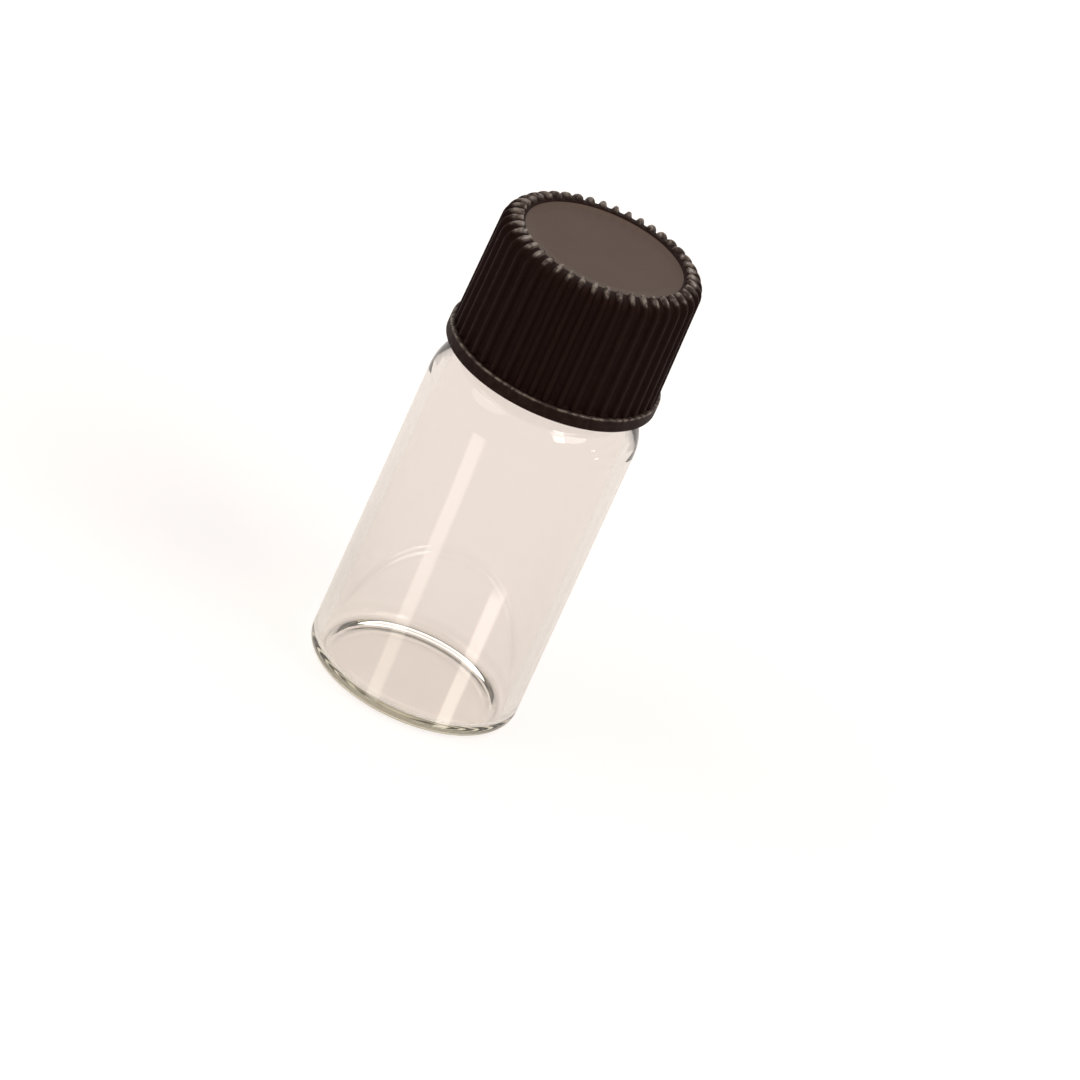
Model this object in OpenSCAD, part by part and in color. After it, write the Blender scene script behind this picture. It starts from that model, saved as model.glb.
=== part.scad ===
// Glass sample vial with a ribbed screw cap.
// A small moulded glass bottle, 16 mm across, stands on its base. Its black cap screws
// down on a short neck and presses a thin sealing disc, the liner, onto the glass lip.
// The origin is the middle of the base, +Z is up, and all sizes are in millimetres.

/* [Glass body] */
// Outside diameter of the body
body_d = 16; // [15:0.1:22]
// Height of the glass, from the base to the lip
glass_h = 35.3; // [28:0.1:80]
// Thickness of the side wall
wall = 0.85; // [0.7:0.05:1.6]
// Thickness of the glass floor, over the hollow
floor_t = 0.45; // [0.4:0.05:3]
// Height of the shallow hollow under the base
push_up = 0.4; // [0.1:0.05:0.7]
// Width of the ring that the vial stands on
foot_w = 0.2; // [0.2:0.05:2]
// Radius of the outer corner round the base
heel_r = 1.1; // [0.6:0.1:2]
// Radius of the inner corner round the floor
floor_r = 0.55; // [0.3:0.05:2]
// Radius of the rounded shoulder, outside
shoulder_r = 3.5; // [2.2:0.1:4]
// Radius of the rounded shoulder, inside
inner_shoulder_r = 3.3; // [2.2:0.1:4]

/* [Neck] */
// Distance from the lip down to the start of the shoulder's curve
neck_h = 11.8; // [11:0.1:16]
// Outside diameter of the neck, between its threads
neck_d = 11.4; // [11:0.1:11.6]
// Diameter of the hole through the neck
bore_d = 8.8; // [7:0.1:9.4]
// Radius where the neck runs into the shoulder, outside and inside
neck_fillet = 0.8; // [0.4:0.1:1.2]
// Radius of the rounded edges of the lip
lip_r = 0.4; // [0.2:0.05:0.6]

/* [Thread] */
// Height that one full turn climbs, 12 turns to the inch
pitch = 2.117; // [1.8:0.001:2.4]
// Outside diameter of the glass thread
thread_d = 12.9; // [12.5:0.05:13]
// Width of a thread ridge at its foot
ridge_foot = 1.4; // [1:0.05:1.5]
// Width of a thread ridge at its crest
ridge_crest = 0.6; // [0.4:0.05:0.8]
// Number of turns of the glass thread
glass_turns = 1.5; // [1:0.25:1.75]
// Number of turns of the cap thread
cap_turns = 1.75; // [1:0.25:2.25]
// Distance from the lip down to the middle of the highest ridge
thread_start = 1.5; // [1.2:0.1:2]
// Room between the threads and what they turn against, measured across
thread_gap = 0.2; // [0.15:0.01:0.3]

/* [Cap] */
// Height of the cap, from its lower edge to the top of its ribs
cap_h = 10.65; // [9.6:0.05:10.8]
// Thickness of the top over the liner
cap_top = 1.1; // [0.8:0.05:2]
// Thickness of the skirt behind the grooves, at its lower end
skirt_t = 0.87; // [0.7:0.01:1.4]
// How much narrower the skirt is at the top than at the bottom, in radius
taper = 0.12; // [0:0.01:0.3]
// How far the plain band at the bottom stands out from the grooves
band_out = 0.57; // [0.45:0.01:0.9]
// Height of the plain band
band_h = 1.05; // [0.6:0.01:2]
// Radius of the cap's upper edge, over the ribs
cap_edge_r = 1.3; // [1:0.05:1.6]
// Depth of the lead-in that widens the mouth of the cap
lead_in = 0.8; // [0.4:0.1:1.2]

/* [Ribs] */
// Number of ribs round the cap
rib_count = 44; // [24:1:50]
// Height of the ribs over the grooves
rib_h = 0.34; // [0.2:0.01:0.42]
// Width of a rib at its foot
rib_foot = 0.7; // [0.5:0.01:0.78]
// Width of a rib at its crest
rib_crest = 0.3; // [0.2:0.01:0.4]
// Width of a rib at its inner end, on the top of the cap
rib_inner = 0.46; // [0.3:0.01:0.5]
// Length of a rib on the top of the cap, from its inner end to the outside
rib_reach = 1.55; // [1.5:0.05:2.5]
// Depth of the flat disc in the top, below the grooves
disc_recess = 0.12; // [0.06:0.01:0.3]

/* [Liner] */
// Thickness of the liner
liner_t = 0.9; // [0.5:0.05:1.6]
// Room round the liner, inside the cap
liner_gap = 0.45; // [0.2:0.05:0.6]

/* [Hidden] */
$fn = 96;
// Points along one rounded corner, and round one turn of thread
arc_steps = 8;
turn_steps = 36;
// Points from the middle of the hollow under the base to its rim, and how flat its middle is
hollow_steps = 12;
hollow_power = 6;
// How far one piece of a solid reaches into the next, where they are joined
bury = 0.3;

// Glass, from the axis outwards and from the base upwards
body_r = body_d / 2;
inner_r = body_r - wall;
neck_r = neck_d / 2;
bore_r = bore_d / 2;
thread_r = thread_d / 2;
shoulder_z = glass_h - neck_h;
foot_r = body_r - heel_r;
ring_r = foot_r - foot_w;

// Cap and liner, which stand on the lip. The cap's skirt gets thicker than skirt_t where the
// band would otherwise be narrower than the body.
liner_z = glass_h;
cap_under_z = liner_z + liner_t;
disc_z = cap_under_z + cap_top;
groove_z = disc_z + disc_recess;
cap_top_z = groove_z + rib_h;
cap_z = cap_top_z - cap_h;
band_z = cap_z + band_h;
cap_bore_r = thread_r + thread_gap;
liner_r = cap_bore_r - liner_gap;
groove_r = max(cap_bore_r + skirt_t, body_r - band_out);
band_r = groove_r + band_out;
groove_top_r = groove_r - taper;
crest_r = groove_r + rib_h;
crest_top_r = crest_r - taper;
disc_r = crest_top_r - rib_reach - 0.1;

// Threads. The cap's ridges run midway between those of the glass.
cap_crest_r = neck_r + thread_gap + 0.05;
glass_thread_z = glass_h - thread_start - glass_turns * pitch;
cap_thread_z = glass_thread_z - pitch / 2;
run_out = 40;

// Points on an arc round [cr, cz], from angle a to angle b
function arc(cr, cz, r, a, b) =
    [for (i = [0:arc_steps]) let (t = a + (b - a) * i / arc_steps) [cr + r * cos(t), cz + r * sin(t)]];

// The shoulder turns a straight side at radius b over an arc of radius s, and a fillet of
// radius f turns it up into the neck's wall at radius r. How far the fillet's centre lies
// out of the arc's centre
function fillet_x(b, s, r, f) = max(0, r + f - (b - s));

// Height of the fillet's centre, and where it leaves the arc, as an angle seen from the
// arc's centre
function fillet_z(b, s, r, f) = shoulder_z + sqrt(pow(s + f, 2) - pow(fillet_x(b, s, r, f), 2));
function fillet_angle(b, s, r, f) = acos(fillet_x(b, s, r, f) / (s + f));

// The shoulder's arc and the fillet above it
function shoulder(b, s, r, f) = concat(
    arc(b - s, shoulder_z, s, 0, fillet_angle(b, s, r, f)),
    [for (i = [1:arc_steps])
        let (t = 180 + fillet_angle(b, s, r, f) * (1 - i / arc_steps))
        [r + f + f * cos(t), fillet_z(b, s, r, f) + f * sin(t)]]);

// A ridge that climbs round the axis on a wall at radius wall_r and stands up to crest_r.
// Its foot is buried in the wall, and it sinks into the wall over run_out degrees at each end.
module ridge(wall_r, crest_r, z, turns) {
    steps = round(turns * turn_steps);
    inwards = crest_r < wall_r;
    root_r = wall_r + (inwards ? bury : -bury);
    sunk_r = (wall_r + root_r) / 2;
    function rise(i) = min(1, min(i, steps - i) / turn_steps * 360 / run_out);
    function at(i, r, dz) =
        let (a = 360 * i / turn_steps) [r * cos(a), r * sin(a), z + pitch * i / turn_steps + dz];
    function ring(i) = let (top = sunk_r + (crest_r - sunk_r) * rise(i)) [
        at(i, root_r, -ridge_foot / 2),
        at(i, top, -ridge_crest / 2),
        at(i, top, ridge_crest / 2),
        at(i, root_r, ridge_foot / 2)];
    points = [for (i = [0:steps]) each ring(i)];
    sides = [for (i = [0:steps - 1], k = [0:3])
        let (a = 4 * i + k, b = 4 * i + (k + 1) % 4) each [[a, b, b + 4], [a, b + 4, a + 4]]];
    ends = [[0, 3, 2], [0, 2, 1], [4 * steps, 4 * steps + 1, 4 * steps + 2],
        [4 * steps, 4 * steps + 2, 4 * steps + 3]];
    faces = concat(sides, ends);
    polyhedron(points, inwards ? [for (f = faces) [f[0], f[2], f[1]]] : faces);
}

// The hollow under the base, from the axis to the ring: flat in the middle, steep at its rim
hollow = [for (i = [0:hollow_steps])
    let (share = i / hollow_steps) [ring_r * share, push_up * (1 - pow(share, hollow_power))]];

// The outside of the glass, turned about the axis
module glass_outside() {
    rotate_extrude() polygon(concat(
        hollow,
        arc(foot_r, heel_r, heel_r, -90, 0),
        shoulder(body_r, shoulder_r, neck_r, neck_fillet),
        arc(neck_r - lip_r, glass_h - lip_r, lip_r, 0, 90),
        [[0, glass_h]]));
}

// The space inside the glass, open at the lip
module glass_inside() {
    floor_z = floor_t + push_up;
    rotate_extrude() polygon(concat(
        [[0, floor_z]],
        arc(inner_r - floor_r, floor_z + floor_r, floor_r, -90, 0),
        shoulder(inner_r, inner_shoulder_r, bore_r, neck_fillet),
        arc(bore_r + lip_r, glass_h - lip_r, lip_r, 180, 90),
        [[bore_r + lip_r, glass_h + 1], [0, glass_h + 1]]));
}

module glass_vial() {
    color([0.93, 0.92, 0.88, 0.4]) difference() {
        union() {
            glass_outside();
            ridge(neck_r, thread_r, glass_thread_z, glass_turns);
        }
        glass_inside();
    }
}

module cap_liner() {
    color("ivory") translate([0, 0, liner_z]) cylinder(r = liner_r, h = liner_t);
}

// The solid cap without its ribs: band, skirt to the bottom of the grooves, and flat disc
module cap_core() {
    edge = 0.1;
    corner_r = cap_edge_r - rib_h;
    difference() {
        rotate_extrude() polygon(concat(
            [[0, cap_z], [band_r - edge, cap_z], [band_r, cap_z + edge],
             [band_r, band_z - edge], [band_r - edge, band_z], [groove_r, band_z]],
            arc(groove_top_r - corner_r, groove_z - corner_r, corner_r, 0, 90),
            [[0, groove_z]]));
        translate([0, 0, disc_z]) cylinder(r = disc_r, h = 1);
    }
}

// The ring in which the ribs stand: its outside is the outline over their crests
module rib_ring() {
    slope = 0.2;
    rotate_extrude() polygon(concat(
        [[disc_r + 0.1, groove_z - bury], [disc_r + 0.1, groove_z],
         [disc_r + 0.1 + slope, cap_top_z]],
        arc(crest_top_r - cap_edge_r, cap_top_z - cap_edge_r, cap_edge_r, 90, 0),
        [[crest_r, band_z + slope], [band_r - slope, band_z - bury],
         [groove_r - bury, band_z - bury], [groove_top_r - bury, groove_z - bury]]));
}

// One rib seen from above, lying along +X
module rib_plan() {
    narrow = (rib_foot - rib_crest) / 2 / rib_h;
    beyond = band_out - rib_h + 0.05;
    polygon([
        [disc_r - bury, -rib_inner / 2], [groove_r, -rib_foot / 2],
        [crest_r, -rib_crest / 2], [crest_r + beyond, -rib_crest / 2 + narrow * beyond / 2],
        [crest_r + beyond, rib_crest / 2 - narrow * beyond / 2], [crest_r, rib_crest / 2],
        [groove_r, rib_foot / 2], [disc_r - bury, rib_inner / 2]]);
}

module ribs() {
    intersection() {
        rib_ring();
        translate([0, 0, band_z - 2 * bury]) linear_extrude(cap_top_z - band_z + 3 * bury)
            for (i = [0:rib_count - 1]) rotate(360 * (i + 0.5) / rib_count) rib_plan();
    }
}

// The hollow that the neck and the liner go into
module cap_inside() {
    translate([0, 0, cap_z - 1]) cylinder(r = cap_bore_r, h = cap_under_z - cap_z + 1);
    translate([0, 0, cap_z - 0.01])
        cylinder(r1 = cap_bore_r + 0.4, r2 = cap_bore_r, h = lead_in);
}

module screw_cap() {
    color([0.09, 0.075, 0.07]) {
        difference() {
            union() {
                cap_core();
                ribs();
            }
            cap_inside();
        }
        ridge(cap_bore_r, cap_crest_r, cap_thread_z, cap_turns);
    }
}

glass_vial();
cap_liner();
screw_cap();
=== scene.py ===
# %% [markdown]
# # A glass sample vial with a black screw cap
#
# This lesson dresses a small laboratory vial in Blender. The real thing is three pieces: a
# bottle of clear glass, a ribbed cap of black plastic, and a thin disc of foam in the cap that
# seals the lip. An engineering model of the three is loaded first. It fixes the main sizes and
# places, and the pieces made here follow it to a fraction of a millimetre.
#
# Glass is the hard part. What it looks like comes from its wall, its thick base and what stands
# round it, so the glass is built as a true wall with an inside and an outside, never as a tinted
# shell.

# %% Load the engineering model
import math

import bpy
import numpy as np
from mathutils import Matrix, Vector


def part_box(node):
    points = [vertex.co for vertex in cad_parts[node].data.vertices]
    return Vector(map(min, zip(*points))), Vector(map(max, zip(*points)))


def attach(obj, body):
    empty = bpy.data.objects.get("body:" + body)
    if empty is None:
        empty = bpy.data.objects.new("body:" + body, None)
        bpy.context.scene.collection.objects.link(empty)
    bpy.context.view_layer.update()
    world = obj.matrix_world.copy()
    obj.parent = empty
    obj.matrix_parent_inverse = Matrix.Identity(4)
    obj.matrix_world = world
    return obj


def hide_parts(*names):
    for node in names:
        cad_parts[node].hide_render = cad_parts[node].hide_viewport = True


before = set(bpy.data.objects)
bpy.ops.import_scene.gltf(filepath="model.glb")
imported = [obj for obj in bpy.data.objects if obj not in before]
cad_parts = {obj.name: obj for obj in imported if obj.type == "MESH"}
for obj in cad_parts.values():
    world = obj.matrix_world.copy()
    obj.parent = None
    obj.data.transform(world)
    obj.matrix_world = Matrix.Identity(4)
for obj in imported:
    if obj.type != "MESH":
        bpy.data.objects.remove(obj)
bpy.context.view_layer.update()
_, glass_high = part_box("glass_vial")
liner_low, liner_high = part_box("cap_liner")
cap_low, cap_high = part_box("screw_cap")
mm = 0.001

# %% [markdown]
# ## The camera
#
# The vial is looked at from a good way off, through a long lens, so its sides stay parallel.
# The camera stands 26 degrees over the horizon and is rolled, which makes the upright vial
# lean to the right in the picture. Rolling the camera keeps the vial standing on its base, as
# it does on a bench.

# %% Place the camera
look_down = math.radians(26.0)
lean = math.radians(24.6)
picture_width = 77.84 * mm
camera_distance = 1.2
vial_off_centre = Vector((-9.37, -9.88)) * mm

forward = Vector((0, math.cos(look_down), -math.sin(look_down)))
level_up = Vector((0, math.sin(look_down), math.cos(look_down)))
level_right = Vector((1, 0, 0))
right = level_right * math.cos(lean) + level_up * math.sin(lean)
up = level_up * math.cos(lean) - level_right * math.sin(lean)

camera = bpy.data.objects.new("camera", bpy.data.cameras.new("camera"))
bpy.context.scene.collection.objects.link(camera)
camera.data.lens = camera.data.sensor_width * camera_distance / picture_width
target = -right * vial_off_centre.x - up * vial_off_centre.y
camera.matrix_world = Matrix.Translation(target - forward * camera_distance) @ Matrix(
    (right, up, -forward)).transposed().to_4x4()
camera.data.clip_start, camera.data.clip_end = 0.05, 5.0
bpy.context.scene.camera = camera
print("lens in mm:", round(camera.data.lens))

# %% [markdown]
# ## Turning a profile
#
# Every piece of the vial is round, so each is made as on a lathe: a profile is drawn from the
# axis out and back again, and turned through a full circle. A grid of numbers does this better
# than Blender's Screw modifier here, because a thread or a rib can be added as a small push on
# each point of the grid, and the piece stays one closed skin.

# %% Draw arcs and lines
def arc(centre, radius, start, end, steps=10):
    """Points on an arc in the plane of radius and height, from one angle to another."""
    turns = np.radians(np.linspace(start, end, steps + 1))
    return [(centre[0] + radius * math.cos(t), centre[1] + radius * math.sin(t)) for t in turns]


def line(start, end, steps):
    """Evenly spaced points between two ends, without the ends."""
    share = np.linspace(0, 1, steps + 1)[1:-1]
    return [(start[0] + (end[0] - start[0]) * s, start[1] + (end[1] - start[1]) * s) for s in share]

# %% Turn a profile
def turn(name, profile, columns, push=None):
    """Turns a profile in millimetres that starts and ends on the axis into a closed mesh.

    push(radius, height, angle) may return what to add to each point's radius and height."""
    angles = np.linspace(0, 2 * math.pi, columns, endpoint=False)
    rows = np.array(profile[1:-1])
    radius = np.repeat(rows[:, :1], columns, axis=1)
    height = np.repeat(rows[:, 1:], columns, axis=1)
    if push is not None:
        more_radius, more_height = push(radius, height, angles[None, :])
        radius, height = radius + more_radius, height + more_height
    ring = np.stack([radius * np.cos(angles), radius * np.sin(angles), height], axis=2)
    points = np.concatenate([ring.reshape(-1, 3), [[0, 0, profile[0][1]], [0, 0, profile[-1][1]]]])
    count = len(rows)
    first, last = count * columns, count * columns + 1
    quads = []
    for row in range(count - 1):
        a, b = row * columns, (row + 1) * columns
        quads += [(a + i, a + (i + 1) % columns, b + (i + 1) % columns, b + i) for i in range(columns)]
    end = (count - 1) * columns
    ends = [(first, (i + 1) % columns, i) for i in range(columns)]
    ends += [(last, end + i, end + (i + 1) % columns) for i in range(columns)]
    mesh = bpy.data.meshes.new(name)
    mesh.from_pydata((points * mm).tolist(), [], quads + ends)
    mesh.shade_smooth()
    piece = bpy.data.objects.new(name, mesh)
    bpy.context.scene.collection.objects.link(piece)
    print(name, "has", len(mesh.polygons), "faces")
    return piece


def sharpen(piece, degrees):
    """Keeps edges that turn by more than this crisp, and shades the rest as smooth."""
    piece.data.set_sharp_from_angle(angle=math.radians(degrees))

# %% [markdown]
# ## The screw thread
#
# The ridge on the neck climbs one pitch a turn. On the grid it is only a push outwards: for
# each point, the height over the nearest turn of the ridge gives how far it stands out. The
# same function makes the ridge inside the cap, pushed inwards and half a pitch lower, so that
# the two pass each other.

# %% Push a thread out of a wall
pitch = 2.117
ridge_foot, ridge_crest = 0.62, 0.24  # half the ridge's width at its foot and at its crest
run_out = 0.11  # how soon an end reaches its full height, in turns


def ease(low, high, value):
    """Goes smoothly from 0 at low to 1 at high."""
    share = np.clip((value - low) / (high - low), 0, 1)
    return share * share * (3 - 2 * share)


def thread(height, angle, start, turns):
    """How high the ridge stands at each point, from 0 to 1."""
    turn_here = angle / (2 * math.pi)
    nearest = np.round((height - start) / pitch - turn_here) + turn_here
    across = np.abs(height - start - nearest * pitch)
    ends = ease(0, run_out, nearest) * ease(0, run_out, turns - nearest)
    return (1 - ease(ridge_crest, ridge_foot, across)) * ends


print("thread pitch in mm:", pitch, "and width at its foot:", 2 * ridge_foot)

# %% [markdown]
# ## The glass bottle
#
# Small vials like this are made from tube or blown in a mould. Both leave soft, fire-polished
# edges: a rounded heel, a shoulder that rolls into the neck, and a round lip. The vial stands on
# a narrow ring, because the middle of the base is pushed up a little. The inside has its own
# profile, a wall's thickness in, with a rounded corner at the floor, and it is that corner that
# draws the bright and dark arcs seen through the glass. The last number of each arc and line is
# how many steps it takes. The neck takes the most, because the thread has to stand out of it.

# %% Size the glass
body_r = glass_high.x / mm
glass_top = glass_high.z / mm
wall, base_wall, hollow = 0.85, 0.45, 0.4
floor_top = hollow + base_wall
floor_r, heel_r, foot_w = 0.55, 1.1, 0.2
hollow_power = 6  # a high power keeps the hollow flat and bends it down only near the ring
shoulder_r, inner_shoulder_r, neck_h = 3.5, 3.3, 11.8
neck_r, bore_r, fillet, lip_r = 5.7, 4.4, 0.8, 0.4
thread_r, thread_turns, thread_down = 6.45, 1.5, 1.5

shoulder_z = glass_top - neck_h
foot_r = body_r - heel_r
thread_z = glass_top - thread_down - thread_turns * pitch
print("wall in mm:", wall, "and floor:", base_wall, "and height of the shoulder:", round(shoulder_z, 2))

# %% Draw the outside and the inside
def rise_to_neck(side_r, wall_r, bend, sweep):
    """The arc from the straight side and the opposite arc that turns it up into the neck's wall."""
    offset = wall_r + bend - (side_r - sweep)
    centre_z = shoulder_z + math.sqrt((sweep + bend) ** 2 - offset**2)
    meet = math.degrees(math.acos(offset / (sweep + bend)))
    rolled = arc((side_r - sweep, shoulder_z), sweep, 0, meet, 16)
    return rolled + arc((wall_r + bend, centre_z), bend, 180 + meet, 180, 10)[1:]


ring_r = foot_r - foot_w
outside = [(r, hollow * (1 - (r / ring_r) ** hollow_power)) for r in np.linspace(0, ring_r, 16)]
outside += line((ring_r, 0), (foot_r, 0), 3) + arc((foot_r, heel_r), heel_r, -90, 0, 14)
outside += line((body_r, heel_r), (body_r, shoulder_z), 5)
outside += rise_to_neck(body_r, neck_r, fillet, shoulder_r)
neck_foot = outside[-1]
outside += line(neck_foot, (neck_r, glass_top - lip_r), 76)
outside += arc((neck_r - lip_r, glass_top - lip_r), lip_r, 0, 90, 8)

inner_r = body_r - wall
inside = [(0, floor_top)] + line((0, floor_top), (inner_r - floor_r, floor_top), 4)
inside += arc((inner_r - floor_r, floor_top + floor_r), floor_r, -90, 0, 16)
inside += line((inner_r, floor_top + floor_r), (inner_r, shoulder_z), 5)
inside += rise_to_neck(inner_r, bore_r, fillet, inner_shoulder_r)
inside += line(inside[-1], (bore_r, glass_top - lip_r), 3)
inside += arc((bore_r + lip_r, glass_top - lip_r), lip_r, 180, 90, 8)
print("points outside:", len(outside), "and inside:", len(inside))

# %% Turn the glass
near = 0.001  # a point this near to a wall lies on it


def glass_thread(radius, height, angle):
    """The thread outwards on the straight outside of the neck."""
    on_neck = (np.abs(radius - neck_r) < near) & (height > neck_foot[1])
    ridge = thread(height, angle, thread_z, thread_turns)
    return np.where(on_neck, (thread_r - neck_r) * ridge, 0), 0 * height


glass = turn("glass_bottle", outside + inside[::-1], 448, glass_thread)
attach(glass, "vial")
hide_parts("glass_vial")

# %% [markdown]
# ## The cap
#
# The cap is one moulding. Its skirt narrows a little towards the top so that it leaves the
# mould, a plain band runs round the bottom, and fine ribs give the fingers hold. The ribs start
# in a small flare on the band, run up the skirt, wrap over the rounded edge and end at a flat
# disc. They are one push along the skin of the profile, repeated round the cap. The loaded cap
# is made of flat facets, so its box is a hair narrower one way than the other. The band takes
# the narrower, which keeps it inside that box all round.

# %% Size the cap
cap_top, cap_foot = cap_high.z / mm, cap_low.z / mm
band_r = min(cap_high.x, cap_high.y) / mm
liner_top = liner_high.z / mm
band_h, band_edge = 1.05, 0.1
rib_h, rib_count = 0.34, 44
disc_down, disc_r = 0.46, 6.09
groove_r, groove_top_r = 7.52, 7.4
edge_r, flare = 0.96, 0.22
cap_bore_r, cap_crest_r = 6.65, 5.95
cap_thread_turns, lead_in, lead_w = 1.75, 0.8, 0.4

band_z = cap_foot + band_h
disc_z = cap_top - disc_down
groove_z = cap_top - rib_h
bend_r, bend_z = groove_top_r - edge_r, groove_z - edge_r
band_flat_r = band_r - band_edge
corner = 0.03  # softens the small step up from the disc
step_foot, step_end = disc_r - 0.04, disc_r + 0.07
rib_start, rib_full = disc_r + 0.1, disc_r + 0.3
rib_rise = 0.12
print("cap in mm:", round(2 * band_r, 2), "across and", round(cap_top - cap_foot, 2), "tall")

# %% Draw the skin and the hollow
skin = [(0, disc_z)] + line((0, disc_z), (disc_r, disc_z), 6)
skin += [(step_foot, disc_z), (disc_r, disc_z + corner)]
skin += [(disc_r + corner, groove_z - corner), (step_end, groove_z)]
skin += line((step_end, groove_z), (bend_r, groove_z), 6)
skin += arc((bend_r, bend_z), edge_r, 90, 0, 14)
skin += line((groove_top_r, bend_z), (groove_r, band_z + flare), 12)
skin += arc((groove_r + flare, band_z + flare), flare, 180, 270, 6)
skin += arc((band_flat_r, band_z - band_edge), band_edge, 90, 0, 4)
skin += line((band_r, band_z - band_edge), (band_r, cap_foot + band_edge), 10)
skin += arc((band_flat_r, cap_foot + band_edge), band_edge, 0, -90, 4)
hollow_wall = [(cap_bore_r + lead_w, cap_foot), (cap_bore_r, cap_foot + lead_in)]
hollow_wall += line((cap_bore_r, cap_foot + lead_in), (cap_bore_r, liner_top), 80)
hollow_wall += [(cap_bore_r, liner_top), (cap_bore_r * 0.5, liner_top), (0, liner_top)]
print("points of the skin:", len(skin), "and of the hollow:", len(hollow_wall))

# %% Turn the cap
crest_edge, groove_edge = 0.08, 0.34  # half a crest and half a rib, as shares of the spacing
columns_a_rib = 14


def rib_round(angle):
    """How high a rib stands round the cap, from 0 in a groove to 1 on a crest."""
    away = np.abs((angle * rib_count / (2 * math.pi)) % 1 - 0.5)
    return 1 - ease(crest_edge, groove_edge, away)


def cap_push(radius, height, angle):
    """Ribs outwards along the skin, and the thread inwards on the hollow's wall."""
    along = ease(rib_start, rib_full, radius) * ease(band_z, band_z + rib_rise, height)
    out_r = np.where(height > bend_z, np.clip((radius - bend_r) / edge_r, 0, 1), 1.0)
    out_z = np.sqrt(1 - out_r**2)
    on_skin = (radius > cap_bore_r + near) | (height > liner_top + near)
    rib = np.where(on_skin, rib_h * along * rib_round(angle), 0)
    on_wall = (np.abs(radius - cap_bore_r) < near) & (height < liner_top - near)
    ridge = thread(height, angle, thread_z - pitch / 2, cap_thread_turns)
    inwards = np.where(on_wall, (cap_bore_r - cap_crest_r) * ridge, 0)
    return rib * out_r - inwards, rib * out_z


cap = turn("ribbed_cap", skin + hollow_wall, rib_count * columns_a_rib, cap_push)
sharpen(cap, 40)
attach(cap, "cap")
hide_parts("screw_cap")

# %% [markdown]
# ## The liner
#
# The seal is a disc punched from foam sheet. Its cut edge bulges a little, and its face keeps
# the shallow ring that the lip has pressed into it. Neither shows while the vial is shut, but
# both do when the cap is lifted off.

# %% Turn the liner
liner_r = liner_high.x / mm
liner_foot = liner_low.z / mm
dent, bulge = 0.03, 0.12
dent_in, dent_out = bore_r + 0.3, neck_r - 0.2
dent_end = neck_r + 0.05
flat_r = liner_r - bulge
face = [(0, liner_foot)] + line((0, liner_foot), (bore_r, liner_foot), 4)
face += [(bore_r, liner_foot), (dent_in, liner_foot + dent), (dent_out, liner_foot + dent)]
face += [(dent_end, liner_foot)]
face += arc((flat_r, liner_foot + bulge), bulge, -90, 0, 4)
face += arc((flat_r, liner_top - bulge), bulge, 0, 90, 4) + [(0, liner_top)]
liner = turn("foam_liner", face, 96)
sharpen(liner, 50)
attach(liner, "liner")
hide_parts("cap_liner")

# %% [markdown]
# ## Clear glass
#
# The glass is faintly warm, and looks olive where the light has far to go through it, as in the
# base. The warm tint is the shader's own colour, and the olive is absorption inside the wall,
# which grows with the path. The skin is left quite smooth, as fire-polished glass is: the
# outline of the wall does all the drawing. Lamps are let through unbent, with a little lost,
# because light that is bent on its way to the floor would take far too many samples to settle.

# %% Make the glass material
def new_material(name):
    """A material with its nodes, its links and its Principled shader."""
    material = bpy.data.materials.new(name)
    material.use_nodes = True
    nodes = material.node_tree.nodes
    return material, nodes, material.node_tree.links, nodes["Principled BSDF"]


glass_material, nodes, links, shader = new_material("clear_glass")
output = nodes["Material Output"]
shader.inputs["Base Color"].default_value = (0.986, 0.960, 0.949, 1)
shader.inputs["Transmission Weight"].default_value = 1.0
shader.inputs["IOR"].default_value = 1.5
shader.inputs["Roughness"].default_value = 0.0
absorb = nodes.new("ShaderNodeVolumeAbsorption")
absorb.inputs["Color"].default_value = (0.86, 0.84, 0.70, 1)
absorb.inputs["Density"].default_value = 110
links.new(absorb.outputs["Volume"], output.inputs["Volume"])
through = nodes.new("ShaderNodeBsdfTransparent")
through.inputs["Color"].default_value = (0.97, 0.97, 0.965, 1)
path = nodes.new("ShaderNodeLightPath")
mix = nodes.new("ShaderNodeMixShader")
links.new(path.outputs["Is Shadow Ray"], mix.inputs["Fac"])
links.new(shader.outputs["BSDF"], mix.inputs[1])
links.new(through.outputs["BSDF"], mix.inputs[2])
links.new(mix.outputs["Shader"], output.inputs["Surface"])
glass.data.materials.append(glass_material)
print("glass tint:", [round(c, 2) for c in shader.inputs["Base Color"].default_value][:3])

# %% [markdown]
# ## Painted highlights on the cap
#
# The highlights that light makes where the cap stands out, on the crests of the ribs round the
# rim and along the upper edge of the band, are painted in as a paler colour, and the whole band
# is made very slightly paler. Each of these places is known from the sizes of the profile, so
# a number from 0 to 1 is worked out for every point of the mesh and stored with it under its own
# name. A material can read it, and no texture has to be drawn or unwrapped.

# %% Mark the painted highlights on the cap
edge_highlight, band_paler = 0.9, 0.03  # how strong the painted highlight on the band's edge is, and how much paler the whole band is
rim_from, rim_full = 0.5, 0.12  # depths under the top where the painted highlight starts and is full
crest_from, crest_full = 0.15, 0.7  # the same on a rib, as shares of its height
in_from, in_full = 0.2, 0.05  # the same on the band's edge, in from its side
down_from, down_full = 0.15, 0.03  # and down from its top
hair = 0.01  # room for rounding, in millimetres

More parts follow.
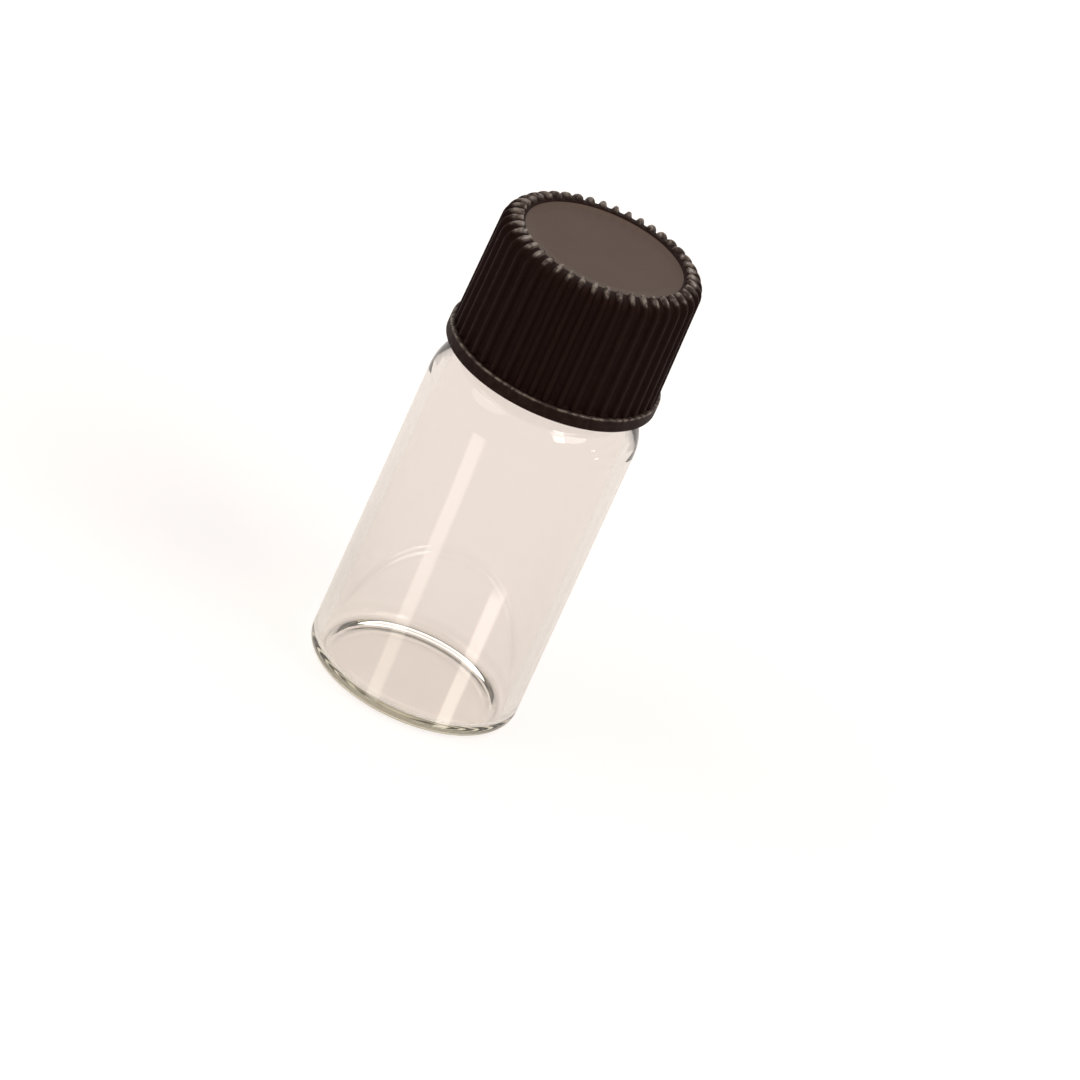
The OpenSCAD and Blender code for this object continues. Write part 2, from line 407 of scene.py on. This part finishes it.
points = np.array([v.co for v in cap.data.vertices]) / mm
point_r, point_z = np.hypot(points[:, 0], points[:, 1]), points[:, 2]
point_angle = np.arctan2(points[:, 1], points[:, 0]) % (2 * math.pi)
on_crest = ease(crest_from, crest_full, rib_round(point_angle))
on_rim = ease(cap_top - rim_from, cap_top - rim_full, point_z)
on_rim = on_rim * ease(rib_start, rib_full, point_r) * on_crest
on_edge = ease(band_r - in_from, band_r - in_full, point_r)
on_edge = on_edge * ease(band_z - down_from, band_z - down_full, point_z) * (point_z < band_z + hair)
on_band = ease(band_r - 2 * hair, band_r - hair, point_r)
# Painted highlight: 1 where light is painted in as a paler colour on the rim and the band's edge; the
# whole band is made a little paler.
highlight_mask = np.maximum.reduce([on_rim, edge_highlight * on_edge, band_paler * on_band])
cap.data.attributes.new("highlight_mask", "FLOAT", "POINT").data.foreach_set("value", highlight_mask)
print("share of the cap that is rubbed:", round(float((highlight_mask > 0.5).mean()), 3))

# %% [markdown]
# ## Black plastic
#
# The cap has two finishes from one mould. The ribs are a warm, very dark brown that mirrors
# little, so they show as soft stripes. Their highlights are painted in as a paler colour with a
# thin coat, and a noise breaks both into flecks. The disc on top was left with a fine even grain,
# which spreads the light and turns it grey when seen at a low angle, and its colour is painted
# paler than the ribs' to carry part of that grey sheen. So the one mesh has two materials.

# %% Make noise and bumps
def noise(nodes, links, scale, detail):
    """A noise fixed to the piece. The higher the scale, the finer it is."""
    place = nodes.new("ShaderNodeTexCoord")
    texture = nodes.new("ShaderNodeTexNoise")
    texture.inputs["Scale"].default_value = scale
    texture.inputs["Detail"].default_value = detail
    links.new(place.outputs["Object"], texture.inputs["Vector"])
    return texture


def bump(nodes, links, height, strength, distance, shader):
    """Roughens a shader's surface by a height, distance metres deep."""
    node = nodes.new("ShaderNodeBump")
    node.inputs["Strength"].default_value = strength
    node.inputs["Distance"].default_value = distance
    links.new(height, node.inputs["Height"])
    links.new(node.outputs["Normal"], shader.inputs["Normal"])

# %% Spread, mix and join values
def spread(nodes, links, value, low, high, from_low=0.3, from_high=0.7):
    """Maps a noise to a range of values, such as a roughness."""
    node = nodes.new("ShaderNodeMapRange")
    node.inputs["From Min"].default_value = from_low
    node.inputs["From Max"].default_value = from_high
    node.inputs["To Min"].default_value = low
    node.inputs["To Max"].default_value = high
    links.new(value, node.inputs["Value"])
    return node.outputs["Result"]


def mix_colour(nodes, links, share, low, high):
    """Goes from one colour to another as a value goes from 0 to 1."""
    mix = nodes.new("ShaderNodeMix")
    mix.data_type = "RGBA"
    first, second = [socket for socket in mix.inputs if socket.type == "RGBA"]
    first.default_value, second.default_value = low, high
    links.new(share, mix.inputs["Factor"])
    return [socket for socket in mix.outputs if socket.type == "RGBA"][0]


def mark(nodes, name):
    """Reads a number that is stored with the points of a mesh."""
    node = nodes.new("ShaderNodeAttribute")
    node.attribute_name = name
    return node.outputs["Fac"]


def join(nodes, links, operation, first, second=None):
    """Joins two values by an operation, or one value and the node's own second number."""
    step = nodes.new("ShaderNodeMath")
    step.operation = operation
    links.new(first, step.inputs[0])
    if second is not None:
        links.new(second, step.inputs[1])
    return step.outputs["Value"]

# %% Make the plastic of the ribs
# The ribs' own black, and the paler brown that paints in their highlights.
rib_black, highlight_brown = (0.0065, 0.0018, 0.0015, 1), (0.16, 0.118, 0.09, 1)
rib_plastic, nodes, links, shader = new_material("ribbed_black")
tone = noise(nodes, links, 1300, 3.0)
fleck = noise(nodes, links, 2200, 2.0)
blotch = spread(nodes, links, fleck.outputs["Fac"], 0.25, 1.2, from_low=0.42, from_high=0.6)
# Painted highlight: where the mask and the flecks meet, the ribs turn paler and get a thin coat.
highlighted = join(nodes, links, "MULTIPLY", mark(nodes, "highlight_mask"), blotch)
links.new(mix_colour(nodes, links, highlighted, rib_black, highlight_brown), shader.inputs["Base Color"])
links.new(spread(nodes, links, tone.outputs["Fac"], 0.55, 0.7), shader.inputs["Roughness"])
links.new(highlighted, shader.inputs["Coat Weight"])
shader.inputs["Coat Roughness"].default_value = 0.25
shader.inputs["Specular IOR Level"].default_value = 0.13
shader.inputs["Specular Tint"].default_value = (1.0, 0.62, 0.5, 1)
bump(nodes, links, tone.outputs["Fac"], 0.2, 0.02 * mm, shader)
cap.data.materials.append(rib_plastic)
print("colour of the ribs:", rib_black[:3], "and where rubbed:", highlight_brown[:3])

# %% Make the plastic of the disc
# The disc's own dark brown, which varies at random in clouds, is painted paler than the ribs' black to
# carry part of the grey sheen that its grain gives at a low angle.
disc_sheen_dark, disc_sheen_light = (0.048, 0.027, 0.018, 1), (0.056, 0.034, 0.022, 1)
disc_plastic, nodes, links, shader = new_material("satin_black")
grain = noise(nodes, links, 5200, 2.0)
cloud = noise(nodes, links, 260, 4.0)
links.new(spread(nodes, links, cloud.outputs["Fac"], 0.40, 0.48), shader.inputs["Roughness"])
disc_colour = mix_colour(nodes, links, cloud.outputs["Fac"], disc_sheen_dark, disc_sheen_light)
links.new(disc_colour, shader.inputs["Base Color"])
shader.inputs["Specular IOR Level"].default_value = 0.35
shader.inputs["Specular Tint"].default_value = (1.0, 0.72, 0.60, 1)
bump(nodes, links, grain.outputs["Fac"], 0.35, 0.01 * mm, shader)
cap.data.materials.append(disc_plastic)
print("colour of the disc:", disc_sheen_dark[:3], "to", disc_sheen_light[:3])

# %% Give the disc its plastic
disc_faces = 0
for polygon in cap.data.polygons:
    middle = polygon.center
    if middle.z / mm > disc_z - hair and math.hypot(middle.x, middle.y) / mm < disc_r - hair:
        polygon.material_index = 1
        disc_faces += 1
print("faces of the top disc:", disc_faces)

# %% [markdown]
# ## Liner foam
#
# Closed foam has a dense skin with fine pores. A pattern of cells too small to see one by one
# takes the shine off it, and the colour is a plain off-white.

# %% Make the liner material
pores_across = 3500
foam, nodes, links, shader = new_material("liner_foam")
pores = nodes.new("ShaderNodeTexVoronoi")
pores.inputs["Scale"].default_value = pores_across
shader.inputs["Base Color"].default_value = (0.82, 0.80, 0.74, 1)
links.new(spread(nodes, links, pores.outputs["Distance"], 0.6, 0.8), shader.inputs["Roughness"])
bump(nodes, links, pores.outputs["Distance"], 0.4, 0.02 * mm, shader)
liner.data.materials.append(foam)
print("pores across the liner:", pores_across)

# %% [markdown]
# ## Floor, background and light
#
# The vial stands on a pale floor under an even sky. Both are white to the camera, and a warmer
# white where the glass mirrors or bends them, because clear glass takes nearly all its tone
# from what stands round it. For the rays that light the object, the sky is dimmer and the floor
# has no glow of its own. The light path tells the material which kind of ray is asking.

# %% Lay the floor
half = 0.8  # half the floor's width, in metres
floor_mesh = bpy.data.meshes.new("floor")
floor_corners = [(-half, -half, 0), (half, -half, 0), (half, half, 0), (-half, half, 0)]
floor_mesh.from_pydata(floor_corners, [], [(0, 1, 2, 3)])
floor = bpy.data.objects.new("floor", floor_mesh)
bpy.context.scene.collection.objects.link(floor)
print("floor:", 2 * half, "m across")

# %% Tell rays apart
def before_walls(nodes, links):
    """1 for a ray that no matt surface has scattered yet, and 0 after that.

    The depth counts such surfaces, and the node's own second number is a half."""
    path = nodes.new("ShaderNodeLightPath")
    return join(nodes, links, "LESS_THAN", path.outputs["Diffuse Depth"])


def mirrored(nodes, links):
    """1 for rays that a shiny surface mirrors or glass bends on their way to the camera."""
    path = nodes.new("ShaderNodeLightPath")
    glossy, bent = path.outputs["Is Glossy Ray"], path.outputs["Is Transmission Ray"]
    either = join(nodes, links, "MAXIMUM", glossy, bent)
    return join(nodes, links, "MULTIPLY", either, before_walls(nodes, links))


def seen_or_mirrored(nodes, links):
    """1 for the camera's own, mirrored and bent rays, and 0 for those that light the object."""
    path = nodes.new("ShaderNodeLightPath")
    return join(nodes, links, "MAXIMUM", path.outputs["Is Camera Ray"], mirrored(nodes, links))

# %% Choose the white
white, warm_white = (1, 1, 1, 1), (0.88, 0.82, 0.78, 1)


def background_colour(nodes, links):
    """White to the camera, and a warmer white where it is mirrored or bent."""
    return mix_colour(nodes, links, mirrored(nodes, links), white, warm_white)


print("white to the camera:", white[:3], "and where it is mirrored:", warm_white[:3])

# %% Make the floor's material
floor_lift, mirrored_lift = 0.45, 0.29
floor_material, nodes, links, shader = new_material("pale_floor")
shader.inputs["Base Color"].default_value = (0.70, 0.65, 0.62, 1)
shader.inputs["Roughness"].default_value = 0.9
shader.inputs["Specular IOR Level"].default_value = 0.0
links.new(background_colour(nodes, links), shader.inputs["Emission Color"])
path = nodes.new("ShaderNodeLightPath")
lift_seen = spread(nodes, links, path.outputs["Is Camera Ray"], 0, floor_lift, 0, 1)
lift_mirrored = spread(nodes, links, mirrored(nodes, links), 0, mirrored_lift, 0, 1)
links.new(join(nodes, links, "ADD", lift_seen, lift_mirrored), shader.inputs["Emission Strength"])
floor_mesh.materials.append(floor_material)
print("the floor's own glow, to the camera:", floor_lift, "and mirrored:", mirrored_lift)

# %% Hang the sky
sky_light = 0.55
world = bpy.data.worlds.new("white_sky")
world.use_nodes = True
bpy.context.scene.world = world
nodes, links = world.node_tree.nodes, world.node_tree.links
background = nodes["Background"]
links.new(background_colour(nodes, links), background.inputs["Color"])
sky_strength = spread(nodes, links, seen_or_mirrored(nodes, links), sky_light, 1.0, 0, 1)
links.new(sky_strength, background.inputs["Strength"])
print("light of the sky on the object:", sky_light)

# %% [markdown]
# ## Suns and panels
#
# Two broad suns give the object its shape and a soft shadow: the stronger stands on the right
# and the weaker on the left. What makes glass look like glass is what it mirrors, so three
# panels stand round it. The one behind lights the rim of the cap, the window makes the bright
# spot on the shoulder, and the small one on the right makes glints low on the glass. They are
# lamps that only mirrored and bent rays see, so they add nothing to the floor or the walls.

# %% Hang two suns
def face_vial(lamp, azimuth, elevation):
    """Turns a lamp so that it shines at the vial, and returns the direction in which it stands.

    Azimuth 0 is behind the camera, and 90 is on its right."""
    a, e = math.radians(azimuth), math.radians(elevation)
    towards = Vector((math.sin(a) * math.cos(e), -math.cos(a) * math.cos(e), math.sin(e)))
    lamp.rotation_mode = "QUATERNION"
    lamp.rotation_quaternion = towards.to_track_quat("Z", "Y")
    bpy.context.scene.collection.objects.link(lamp)
    return towards


def sun(name, strength, degrees, azimuth, elevation):
    """A broad sun. The more degrees it spans, the softer its shadow."""
    lamp = bpy.data.objects.new(name, bpy.data.lights.new(name, "SUN"))
    lamp.data.energy = strength
    lamp.data.angle = math.radians(degrees)
    face_vial(lamp, azimuth, elevation)
    print(name, "sun:", strength)


sun("key", 1.0, 36, 66, 52)
sun("fill", 0.5, 40, -60, 50)

# %% Hang the panels
panel_distance = 0.6


def panel(name, azimuth, elevation, width, height, strength):
    """A lit panel in the air that faces the vial. Only mirrored and bent rays see it.

    strength is how bright it looks, so the lamp's power grows with its area."""
    lamp = bpy.data.objects.new(name, bpy.data.lights.new(name, "AREA"))
    lamp.data.shape = "RECTANGLE"
    lamp.data.size, lamp.data.size_y = width, height
    lamp.data.energy = strength * math.pi * width * height
    lamp.location = face_vial(lamp, azimuth, elevation) * panel_distance
    lamp.visible_camera = lamp.visible_diffuse = False
    lamp.data.use_nodes = True
    nodes, links = lamp.data.node_tree.nodes, lamp.data.node_tree.links
    links.new(before_walls(nodes, links), nodes["Emission"].inputs["Strength"])
    print(name, "is", width, "by", height, "m")


panel("back_panel", 172, 62, 0.6, 0.2, 2.2)
panel("window", 46, 41, 0.12, 0.12, 7.0)
panel("side_glint", 87, 5, 0.05, 0.03, 7.0)

# %% [markdown]
# ## Streaks on the glass
#
# Two tall streaks run down the body, where the glass mirrors bright light on the bench. They
# are made by working the mirror backwards. Seen from above, a ray from the camera that meets
# the round wall at some angle from the front leaves it at twice that angle, and it goes on
# down to the floor. So each point of a streak mirrors one place on the floor, and the higher
# the point, the further out that place lies. A strip of light is laid along those places. It
# is fully lit in the middle and fades towards its sides and its far end.

# %% Find what a streak mirrors
strip_height = 0.2  # over the floor, in millimetres
strip_columns, strip_rows = 16, 48
soft_side, soft_end = 0.6, 0.86  # where the light starts to fade, as shares of the way


def streak_mesh(name, turns, half_widths, reaches):
    """The places on the floor that one streak mirrors, as a grid from its foot to its top.

    turns: where the streak stands at its foot and at its top, in degrees from the front.
    half_widths: how far it spreads to each side there, in degrees.
    reaches: how far from the wall the grid starts and ends, in millimetres."""
    out = np.linspace(0, 1, strip_rows + 1)[:, None]
    side = np.linspace(-1, 1, strip_columns + 1)[None, :]
    turn_here = np.radians(np.interp(out, (0, 1), turns) + side * np.interp(out, (0, 1), half_widths))
    reach = np.interp(out, (0, 1), reaches)
    x = body_r * np.sin(turn_here) + reach * np.sin(2 * turn_here)
    y = -body_r * np.cos(turn_here) - reach * np.cos(2 * turn_here)
    corners = np.stack([x, y, np.full_like(x, strip_height)], axis=2).reshape(-1, 3) * mm
    wide = strip_columns + 1
    starts = [row * wide + column for row in range(strip_rows) for column in range(strip_columns)]
    mesh = bpy.data.meshes.new(name)
    mesh.from_pydata(corners.tolist(), [], [(i, i + 1, i + wide + 1, i + wide) for i in starts])
    glow = ease(1, soft_side, np.abs(side)) * ease(1, soft_end, out)
    mesh.attributes.new("glow", "FLOAT", "POINT").data.foreach_set("value", glow.ravel())
    mesh.attributes.new("out", "FLOAT", "POINT").data.foreach_set("value", (out + 0 * side).ravel())
    return mesh

# %% Make light that fades
strip_near_colour, strip_far_colour = (1.0, 0.92, 0.80, 1), (1.0, 0.89, 0.85, 1)


def strip_light(name, strength):
    """Light that fades into what lies behind it by the glow that the grid holds."""
    material, nodes, links, shader = new_material(name)
    nodes.remove(shader)
    emission = nodes.new("ShaderNodeEmission")
    colour = mix_colour(nodes, links, mark(nodes, "out"), strip_near_colour, strip_far_colour)
    links.new(colour, emission.inputs["Color"])
    emission.inputs["Strength"].default_value = strength
    clear = nodes.new("ShaderNodeBsdfTransparent")
    fade = nodes.new("ShaderNodeMixShader")
    links.new(mark(nodes, "glow"), fade.inputs["Fac"])
    links.new(clear.outputs["BSDF"], fade.inputs[1])
    links.new(emission.outputs["Emission"], fade.inputs[2])
    links.new(fade.outputs["Shader"], nodes["Material Output"].inputs["Surface"])
    material.cycles.emission_sampling = "NONE"
    return material

# %% Lay the strips
def strip(name, turns, half_widths, reaches, strength):
    """A lit strip on the floor that only mirrored rays see, and that the glass shows as a streak."""
    mesh = streak_mesh(name, turns, half_widths, reaches)
    mesh.materials.append(strip_light(name, strength))
    card = bpy.data.objects.new(name, mesh)
    bpy.context.scene.collection.objects.link(card)
    for ray in ("camera", "diffuse", "transmission", "volume_scatter", "shadow"):
        setattr(card, "visible_" + ray, False)
    print(name, "reaches", reaches[1], "mm out from the glass")


strip("left_strip", (-13.8, -19.3), (4.4, 5.0), (0.5, 58), 3.9)
strip("right_strip", (26.2, 24.6), (4.6, 5.2), (0.5, 27), 5.8)

# %% [markdown]
# ## Light inside the glass
#
# A ray that reaches the eye from the base of the vial has crossed the wall and the floor of the
# glass many times. With the usual limit of 12 bounces it is cut off on the way and leaves the
# base dark and dirty, so the limits are raised. The view transform is Standard, which shows a
# colour as it is written.

# %% Let light bounce on
bounces = 32
bpy.context.scene.view_settings.view_transform = "Standard"
cycles = bpy.context.scene.cycles
cycles.max_bounces = cycles.glossy_bounces = cycles.transmission_bounces = bounces
print("bounces:", bounces)

# %% [markdown]
# ## Finish
#
# The dressed vial has to stay inside the box of the engineering model. The last cell brings the
# scene up to date.

# %% Finish
bpy.context.view_layer.update()
